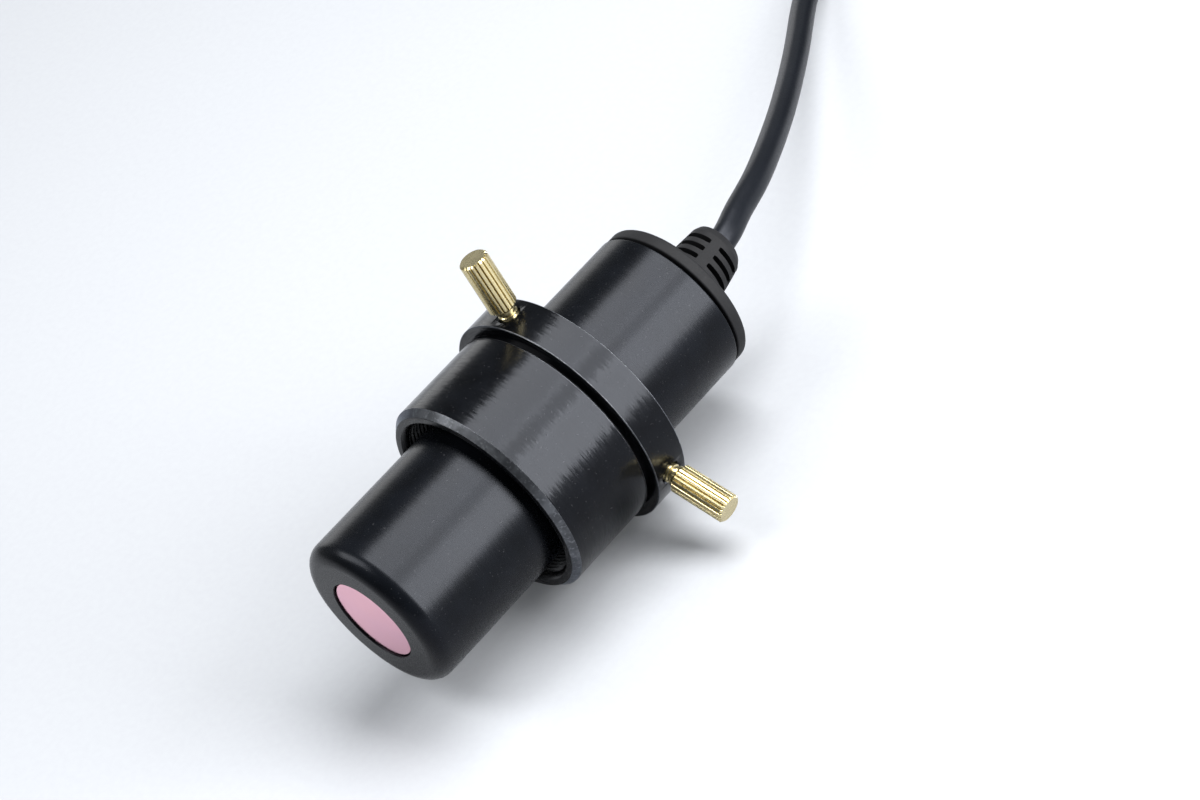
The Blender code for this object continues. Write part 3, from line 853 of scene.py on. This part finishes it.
# Clockwise from where the lead arrives: (turn in degrees, radius, level) that each stretch ends at.
COIL_LEGS = (
    (90, OUTER, 0), (229, OUTER, 0), (50, OUTER, 1), (310, OUTER, 1), (50, OUTER, 2), (265, OUTER, 2),
    (45, MIDDLE, 2), (265, MIDDLE, 2), (50, MIDDLE, 1), (310, MIDDLE, 1), (50, MIDDLE, 0), (265, MIDDLE, 0),
    (45, INNER, 0), (255, INNER, 0), (60, INNER, 1), (300, INNER, 1), (60, INNER, 2), (300, INNER, 2),
    (60, INNER, 3), (190, INNER, 3), (60, MIDDLE, 3), (155, MIDDLE, 3), (78, MIDDLE, 4),
)
COIL_STEP = 6  # degrees
TIE_LIFT = 0.6  # how much the turns rise over the tie beneath them
TIE_SECTOR = math.radians(30)


def ease(t):
    """0 to 1 with a soft start and end."""
    return t * t * (3 - 2 * t)


def coil_points(centre, start):
    """The turns of the coil, in millimetres, from the lead's last point on."""
    offset = start - centre
    angle, radius, height = math.atan2(offset.y, offset.x), math.hypot(offset.x, offset.y), start.z
    points = []
    for turn, to_radius, level in COIL_LEGS:
        steps = max(2, round(turn / COIL_STEP))
        for k in range(1, steps + 1):
            t = k / steps
            a = angle - math.radians(turn) * t
            r = radius + (to_radius - radius) * ease(t)
            z = height + (LEVELS[level] - height) * ease(t)
            away = abs((a - math.pi / 2 + math.pi) % math.tau - math.pi) / TIE_SECTOR
            if away < 1:
                z += TIE_LIFT * ease(1 - away)
            points.append(centre + Vector((r * math.cos(a), r * math.sin(a), z)))
        angle -= math.radians(turn)
        radius, height = to_radius, LEVELS[level]
    return points


def smooth_through(points, spacing):
    """Points about `spacing` apart on one smooth curve through the given ones."""
    ends = [2 * points[0] - points[1], *points, 2 * points[-1] - points[-2]]
    made = []
    for p0, p1, p2, p3 in zip(ends, ends[1:], ends[2:], ends[3:]):
        steps = max(1, round((p2 - p1).length / spacing))
        for i in range(steps):
            t = i / steps
            made.append(0.5 * (2 * p1 + (p2 - p0) * t + (2 * p0 - 5 * p1 + 4 * p2 - p3) * t**2
                               + (3 * p1 - 3 * p2 + p3 - p0) * t**3))
    made.append(points[-1])
    return made


def coil_centre():
    low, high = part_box("cable_coil")
    return Vector(((low.x + high.x) / 2, (low.y + high.y) / 2, 0)) / MM


def build_lead(cord_black):
    centre = coil_centre()
    lead = [Vector(point) for point in LEAD_ROUTE]
    tail = [centre + Vector(point) for point in TAIL_ROUTE]
    root = Vector((AXIS_X / MM, lead[0].y - ROOT_LENGTH, AXIS_Z / MM))
    route = smooth_through([root] + lead + coil_points(centre, lead[-1]) + tail, ROUTE_SPACING)
    curve = bpy.data.curves.new("lead", "CURVE")
    curve.dimensions = "3D"
    curve.bevel_depth = CORD_R
    curve.bevel_resolution = 7
    curve.use_fill_caps = True
    spline = curve.splines.new("POLY")
    spline.points.add(len(route) - 1)
    for slot, point in zip(spline.points, route):
        slot.co = (*(point * MM), 1.0)
    spline.use_smooth = True
    curve.materials.append(cord_black)
    piece = bpy.data.objects.new("lead", curve)
    bpy.context.scene.collection.objects.link(piece)
    return lay(piece, "camera", "cord_black", "cable", "cable_coil", "cable_tail")


TAPE_THICKNESS = 0.2 * MM
TAPE_LAYERS = 0.42 * MM  # two thicknesses, where the end lies over the start
TAPE_COLUMNS = (-1.0, -0.94, -0.5, 0.0, 0.5, 0.94, 1.0)
TIE_CORNER = 1.7 * MM
FLAP_DOWN = 5.5 * MM  # how far the loose end comes down the outer side
FLAP_SHORT = 1.5 * MM  # how far it stops short of the inner side


def arc_points(centre, radius, quarter, steps=8):
    """Points on a quarter of a circle, the first quarter starting at +Y."""
    return [centre + Vector((math.cos(a), math.sin(a))) * radius
            for a in (math.pi / 2 * (quarter + i / steps) for i in range(steps + 1))]


def strip(bm, path, middle, half, closed):
    """A band of tape along a path of (y, z) points, with the path on its inner face."""
    rows = []
    for i, point in enumerate(path):
        before = path[i - 1] if closed or i else point
        after = path[(i + 1) % len(path)] if closed or i + 1 < len(path) else point
        run = (after - before).normalized()
        rows.append((point, point + Vector((run.y, -run.x)) * TAPE_THICKNESS))
    rings = []
    for inner, outer in rows:
        rings.append([(middle + half * c, inner.x, inner.y) for c in TAPE_COLUMNS]
                     + [(middle + half * c, outer.x, outer.y) for c in reversed(TAPE_COLUMNS)])
    bridge(bm, rings, closed)


def build_tie(tape_black):
    """A strip of tape round the turns, its end pressed down over the top and the outer side."""
    low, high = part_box("cable_tie")
    corner = TIE_CORNER
    inset = TAPE_LAYERS + corner
    y0, y1, z0, z1 = low.y + inset, high.y - inset, low.z + inset, high.z - inset
    loop = (arc_points(Vector((y1, z1)), corner, 0) + arc_points(Vector((y0, z1)), corner, 1)
            + arc_points(Vector((y0, z0)), corner, 2) + arc_points(Vector((y1, z0)), corner, 3))
    over = corner + TAPE_THICKNESS * 1.04
    flap = ([Vector((y1 + over, z1 - FLAP_DOWN))] + arc_points(Vector((y1, z1)), over, 0)
            + [Vector((y0 + FLAP_SHORT, z1 + over))])
    middle, half = (low.x + high.x) / 2, (high.x - low.x) / 2
    bm = bmesh.new()
    strip(bm, loop, middle, half, closed=True)
    strip(bm, flap, middle, half * 0.985, closed=False)
    tie = settle("tie", bm, tape_black, sharp=math.radians(50))
    return lay(tie, "camera", "tie_black", "cable_tie")


# ---------------------------------------------------------------- plug, in millimetres
GRIP_SECTIONS = (  # along X, half width, half height, corner radius
    (0.0, 2.3, 2.3, 2.2), (0.25, 2.65, 2.65, 2.5), (5.6, 3.15, 3.0, 2.8), (6.6, 3.5, 3.2, 2.6),
    (7.4, 6.2, 3.45, 2.4), (8.3, 7.4, 3.8, 2.4), (9.5, 7.85, 3.95, 2.4), (16.0, 7.9, 3.97, 2.4),
    (22.9, 7.95, 3.97, 2.4), (23.6, 7.8, 3.8, 2.2), (24.0, 7.4, 3.4, 1.9),
)
GRIP_LENGTH = GRIP_SECTIONS[-1][0]
GRIP_STEPS = 96
NECK_START, NECK_END = 1.0, 5.5
NECK_GROOVE, NECK_PITCH, NECK_DEPTH = 1.6, 1.25, 0.5  # the first groove, their spacing, their depth
FINGER_GROOVES = (11.2, 13.2, 15.2, 17.2, 19.2)  # where each one, 1 mm wide, starts
FINGER_DEPTH = 0.28
SHELL_START = 24.3
SHELL_LENGTH = 12.0
SHELL_HALF = (6.0, 2.25)
SHELL_WALL = 0.32
SHELL_FLOOR = 1.0
LATCH_START, LATCH_LENGTH = 5.6, 2.2  # the square windows in the shell's two faces
LATCH_ACROSS, LATCH_HALF = 2.6, 1.15
TONGUE_START = SHELL_START + 1.3
TONGUE_HALF = (5.3, 0.85)
TONGUE_SECTIONS = ((0.0, 0.1), (0.1, 0.0), (10.0, 0.0), (10.2, 0.15))  # along X, how much smaller
TONGUE_RISE = 0.8
CONTACTS = ((-3.5, 8.4), (-1.0, 7.6), (1.0, 7.6), (3.5, 8.4))  # place across, length
CONTACT_END = 9.4
CONTACT_SECTION = ((-0.55, 0.1), (-0.45, -0.1), (0.45, -0.1), (0.55, 0.1))


def rounded_rectangle(x, half_width, half_height, corner, steps=6):
    points = []
    for quarter, (sy, sz) in enumerate(((1, 1), (-1, 1), (-1, -1), (1, -1))):
        for i in range(steps + 1):
            a = math.pi / 2 * (quarter + i / steps)
            points.append(Vector((x, sy * (half_width - corner) + corner * math.cos(a),
                                  sz * (half_height - corner) + corner * math.sin(a))) * MM)
    return points


def between(sections, x):
    """The section at x, eased between the listed ones."""
    for first, second in zip(sections, sections[1:]):
        if x <= second[0]:
            t = ease((x - first[0]) / (second[0] - first[0]))
            return [a + (b - a) * t for a, b in zip(first[1:], second[1:])]
    return list(sections[-1][1:])


def build_grip(grip_black, origin):
    bm = bmesh.new()
    rings = []
    for k in range(GRIP_STEPS + 1):
        x = GRIP_LENGTH * k / GRIP_STEPS
        half_width, half_height, corner = between(GRIP_SECTIONS, x)
        if NECK_START < x < NECK_END:
            wave = max(0.0, math.cos(math.tau * (x - NECK_GROOVE) / NECK_PITCH))
            groove = NECK_DEPTH * wave**0.5
            half_width -= groove
            half_height -= groove
            corner -= groove
        for start in FINGER_GROOVES:
            if start < x < start + 1.0:
                half_height -= FINGER_DEPTH * math.sin(math.pi * (x - start)) ** 0.7
        corner = min(corner, half_width - 0.05, half_height - 0.05)
        rings.append(rounded_rectangle(x, half_width, half_height, corner, 8))
    bridge(bm, rings, closed=False)
    grip = settle("plug_grip", bm, grip_black, origin, math.radians(50))
    return lay(grip, "camera", "grip_black", "usb_plug_grip")


def build_shell(steel, origin):
    width, height = SHELL_HALF
    wall = SHELL_WALL
    bm = bmesh.new()
    bridge(bm, [
        rounded_rectangle(SHELL_START, width, height, 0.5),
        rounded_rectangle(SHELL_START + SHELL_LENGTH - 0.12, width, height, 0.5),
        rounded_rectangle(SHELL_START + SHELL_LENGTH, width - 0.1, height - 0.1, 0.4),
        rounded_rectangle(SHELL_START + SHELL_LENGTH, width - wall, height - wall, 0.25),
        rounded_rectangle(SHELL_START + SHELL_FLOOR, width - wall, height - wall, 0.25),
    ], closed=False)
    shell = settle("plug_shell", bm, steel, origin)
    bm = bmesh.new()
    half = LATCH_HALF
    for side in (-1, 1):
        for across in (-1, 1):
            x0, y0 = SHELL_START + LATCH_START, across * LATCH_ACROSS
            rings = [[Vector((x, y0 + dy, side * 3.0 + dz)) * MM for dy, dz in
                      ((-half, -1.5), (half, -1.5), (half, 1.5), (-half, 1.5))]
                     for x in (x0, x0 + LATCH_LENGTH)]
            bridge(bm, rings, closed=False)
    carve(shell, settle("windows", bm, steel, origin, weighted=False))
    return lay(shell, "camera", "steel", "usb_plug_shell")


def build_tongue(white, origin):
    width, height = TONGUE_HALF
    bm = bmesh.new()
    bridge(bm, [rounded_rectangle(TONGUE_START + x, width - inset, height - inset, 0.2 - inset / 2, 3)
                for x, inset in TONGUE_SECTIONS], closed=False)
    tongue = settle("plug_tongue", bm, white, origin)
    return lay(tongue, "camera", "white_plastic", "usb_plug_tongue")


def build_contacts(gold, origin):
    """The four contacts, half sunk into the tongue's lower face."""
    bm = bmesh.new()
    end = TONGUE_START + CONTACT_END
    for y, length in CONTACTS:
        rings = [[Vector((x, y + dy, dz - TONGUE_HALF[1])) * MM for dy, dz in CONTACT_SECTION]
                 for x in (end - length, end)]
        bridge(bm, rings, closed=False)
    contacts = settle("plug_contacts", bm, gold, origin)
    return lay(contacts, "camera", "brass")


def build_plug(grip_black, steel, white, gold):
    low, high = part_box("usb_plug_grip")
    origin = Matrix.Translation((low.x, (low.y + high.y) / 2, (low.z + high.z) / 2))
    raised = origin @ Matrix.Translation((0, 0, TONGUE_RISE * MM))
    return [build_grip(grip_black, origin), build_shell(steel, origin),
            build_tongue(white, raised), build_contacts(gold, raised)]


# ---------------------------------------------------------------- all of it
def dress(nodes, surface):
    """Gives CAD nodes that stay as they are their finished material."""
    for name in nodes:
        mesh = frame["nodes"][name].data
        mesh.materials.clear()
        mesh.materials.append(surface)


def main():
    build_camera()
    build_studio()

    smooth_black = anodised("black_anodised", (0.0013, 0.0016, 0.0023), 0.27, 0.16 * MM, 1.6, 0.05, 0.05)
    turned_black = anodised("turned_black", (0.0013, 0.0015, 0.0020), 0.20, 0.12 * MM, 5.0, 0.16, 0.20)
    # Paler anodising for the cut front of the adapter, also used as painted light on the thread in its
    # mouth.
    fresh_cut_and_painted_light = cut_finish_and_painted_light("fresh_cut_and_painted_light", (0.0042, 0.0046, 0.0055), 1.25, 0.26, 0.0)
    # Painted highlight: a pale metal on the adapter's edge bevels, in place of thin lines of light along
    # them.
    painted_highlight_edge = cut_finish_and_painted_light("painted_highlight_edge", (0.11, 0.115, 0.125), 1.42, 0.36, 1.0)
    brass = turned_metal("brass", (0.61, 0.525, 0.30), 0.24, 0.88)
    gold = turned_metal("gold_plate", (0.90, 0.68, 0.32), 0.22, 0.9)
    steel = turned_metal("plated_steel", (0.36, 0.36, 0.37), 0.26, 0.85)
    soft_black = rubber("dark_rubber", (0.0108, 0.0110, 0.0120), 0.60)
    cord_black = jacket("cord_black", (0.0035, 0.0042, 0.0058), 0.38)
    grip_black = moulded("grip_black", (0.016, 0.016, 0.018), 0.5)
    chip_black = moulded("chip_black", (0.02, 0.02, 0.02), 0.45)
    matt_black = moulded("baffle_black", (0.010, 0.010, 0.010), 0.85, 0.05 * MM)
    white = moulded("white_plastic", (0.74, 0.73, 0.69), 0.42)
    tape_black = tape("tie_black", (0.018, 0.018, 0.019))

    build_barrel(smooth_black, coated_window())
    build_adapter(turned_black, fresh_cut_and_painted_light, painted_highlight_edge)
    for k, joint in enumerate(screw_joints()):
        build_thumbscrew("screw_" + joint["child"][-1], joint, brass, SCREW_TURN * k)
    build_cap(soft_black)
    build_relief(soft_black)

    lead = build_lead(cord_black)
    tie = build_tie(tape_black)
    plug = build_plug(grip_black, steel, white, gold)

    dress(("window_retainer", "clock_crystal"), steel)
    dress(("board_screw_a", "board_screw_b", "board_screw_c", "board_spacer_a", "board_spacer_b",
           "board_spacer_c", "lead_clamp"), brass)
    dress(("sensor_board", "main_board"), circuit_board())
    dress(("image_sensor", "video_chip"), chip_black)
    dress(("board_link", "lead_socket", "lead_connector"), white)
    dress(("baffle_tube",), matt_black)
    dress(("window_gasket",), soft_black)
    dress(("sensor_cover_glass",), clear_glass())
    dress(("inner_lead",), cord_black)


main()
